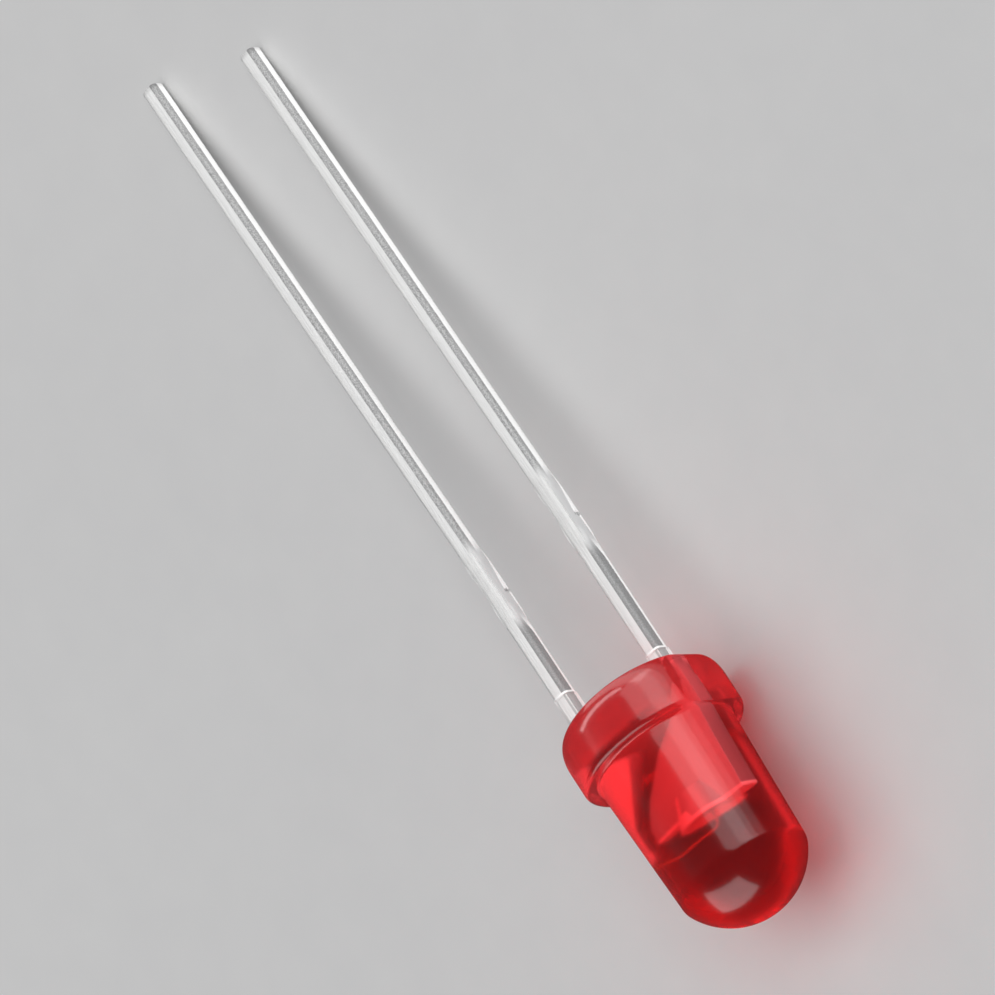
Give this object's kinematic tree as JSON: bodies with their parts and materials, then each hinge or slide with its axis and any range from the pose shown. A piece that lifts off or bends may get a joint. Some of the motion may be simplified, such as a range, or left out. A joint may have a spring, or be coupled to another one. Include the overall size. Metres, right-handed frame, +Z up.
{
  "type": "through hole led",
  "caption": "Round 3 mm light emitting diode: domed red tinted resin body with a flat on its flange, and long straight tinned leads, the anode the longer.",
  "frame": {"origin": "on the surface that the diode lies on, under the middle of its box", "axes": "+X along the diode from the lead tips to the dome (the dome tips up by about 5.6 degrees), +Y from the anode to the cathode and the flat, +Z up"},
  "size_m": [0.0234, 0.0038, 0.0039],
  "materials": {
    "tinted_resin": "gloss",
    "tinned_lead": "satin",
    "die_crystal": "satin",
    "silver_adhesive": "matte",
    "gold_wire": "polished"
  },
  "bodies": {
    "root": {"lens_body": "tinted_resin", "anode_lead": "tinned_lead", "cathode_lead": "tinned_lead", "led_chip": "die_crystal", "die_attach": "silver_adhesive", "bond_wire": "gold_wire"}
  },
  "joints": []
}
